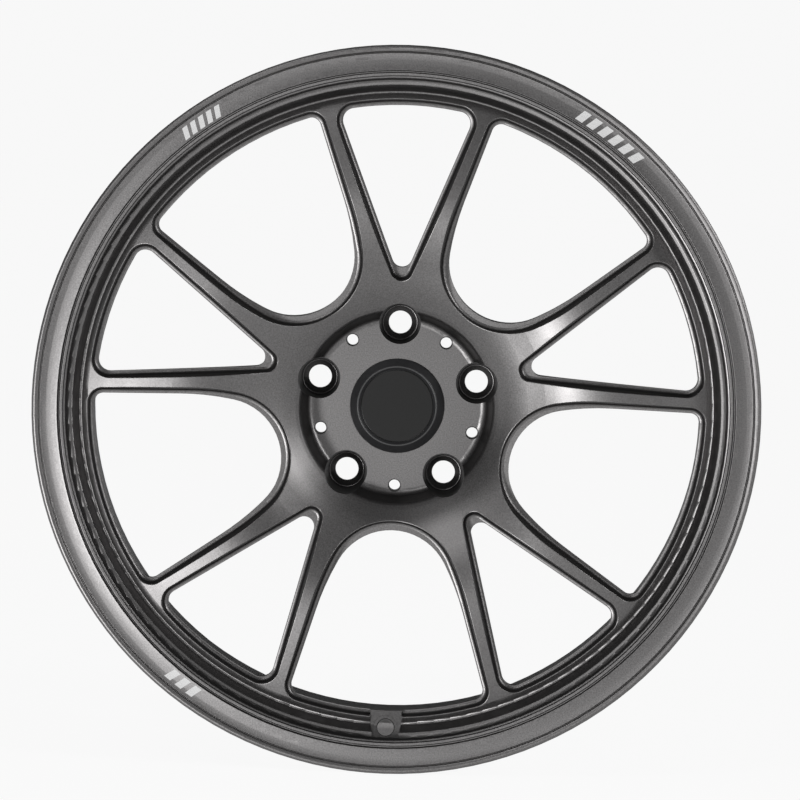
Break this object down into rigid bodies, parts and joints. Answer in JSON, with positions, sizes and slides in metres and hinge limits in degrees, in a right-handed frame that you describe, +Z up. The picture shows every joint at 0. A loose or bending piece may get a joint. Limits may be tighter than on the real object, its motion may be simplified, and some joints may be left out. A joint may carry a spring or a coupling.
{
  "type": "wheel rim",
  "caption": "One-piece forged wheel rim with ten slim spokes in V pairs, a drop-well barrel, a five-hole hub pad and a push-in centre cap.",
  "frame": {"origin": "on the axle line, halfway across the overall width (the centre of the bounding box)", "axes": "+Y along the axle line towards the vehicle, -Y out of the street face, +Z up with one lug hole straight up and the valve hole straight down"},
  "size_m": [0.497, 0.266, 0.497],
  "materials": {
    "rim_paint": "satin gunmetal paint with fine metallic grain over forged aluminium",
    "cap_plastic": "fine-grained matte black",
    "cap_rubber": "smooth black nitrile",
    "emblem": "satin black, plain",
    "adhesive": "foam tape",
    "decal_vinyl": "light grey vinyl"
  },
  "bodies": {
    "wheel": {"forged_rim": "rim_paint", "lip_decal_upper_left": "decal_vinyl", "lip_decal_upper_right": "decal_vinyl", "lip_decal_lower_left": "decal_vinyl"},
    "cap": {"cap_body": "cap_plastic", "cap_o_ring": "cap_rubber", "cap_emblem_plate": "emblem", "cap_emblem_adhesive": "adhesive"}
  },
  "joints": [
    {"name": "cap_pull", "type": "slide", "parent": "wheel", "child": "cap", "axis": [0, -1, 0], "range_m": [0, 0.01]}
  ]
}
